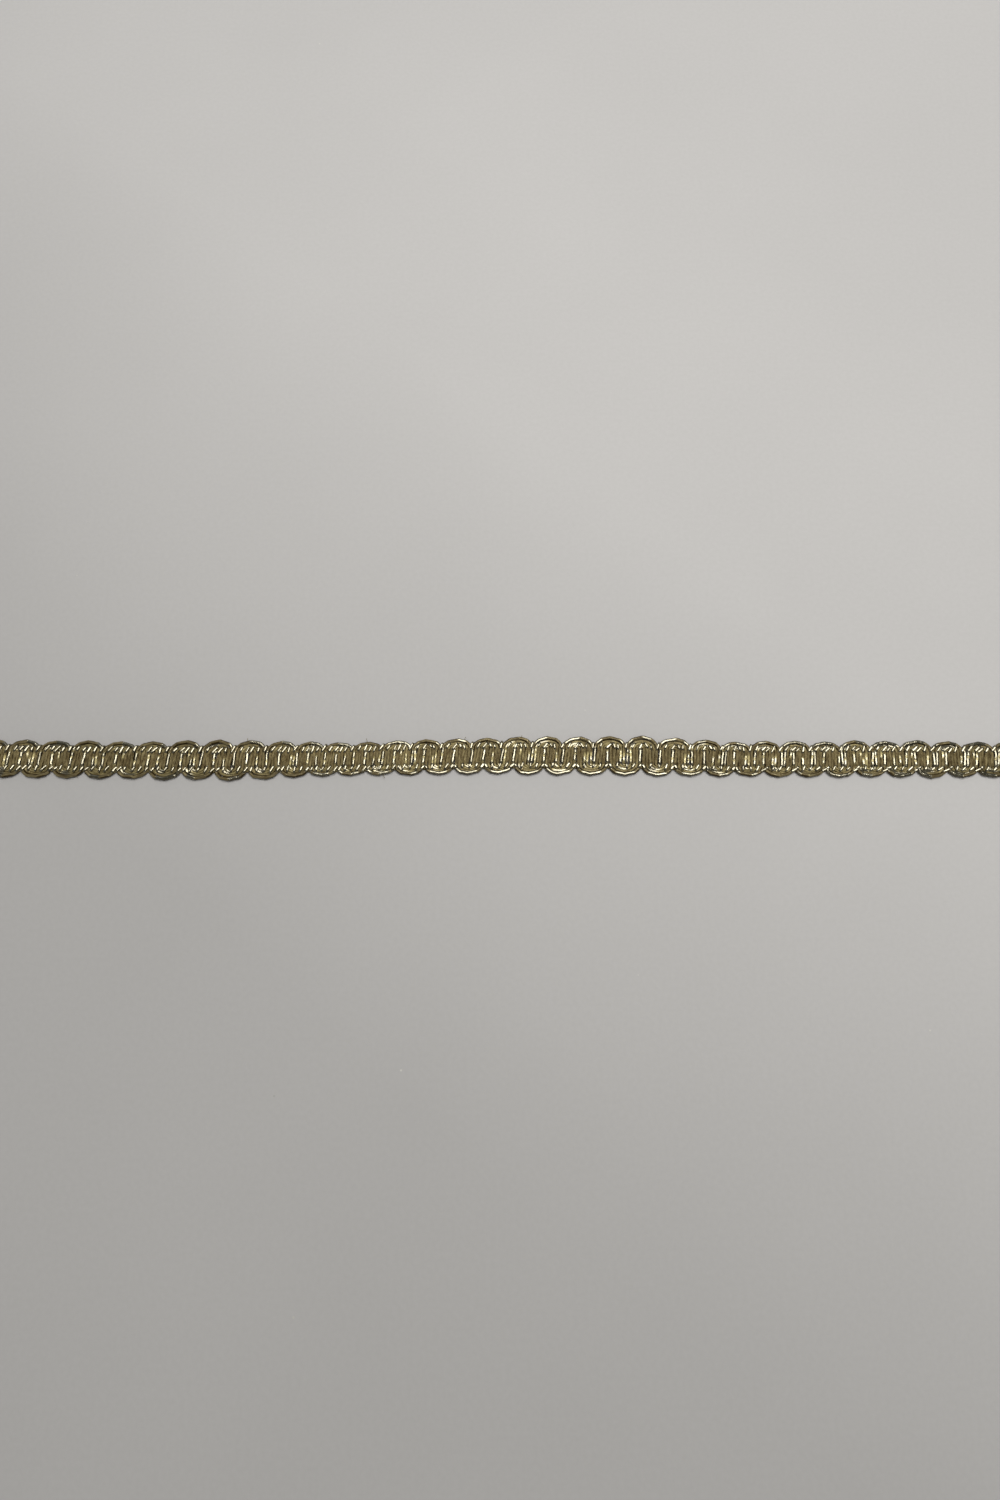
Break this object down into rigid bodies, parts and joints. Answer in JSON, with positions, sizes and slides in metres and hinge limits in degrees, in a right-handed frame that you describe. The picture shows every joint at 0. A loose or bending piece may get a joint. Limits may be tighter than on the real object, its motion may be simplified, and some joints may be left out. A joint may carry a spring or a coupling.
{
  "type": "metallic gimp braid trim",
  "caption": "Narrow gold metallic gimp braid, a cut length lying flat, with alternating scalloped edges and rows of binding stitches.",
  "frame": {"origin": "middle of the flat back, at the middle of the cut length and of the width", "axes": "+X along the braid, +Y across it towards one scalloped edge, +Z out of the face, away from the surface that the back lies on"},
  "size_m": [0.2574, 0.0114, 0.0014],
  "materials": {
    "metallic_yarn": "pale gold foil-wrapped yarn with bright narrow glints"
  },
  "bodies": {
    "root": {"braid": "metallic_yarn"}
  },
  "joints": []
}
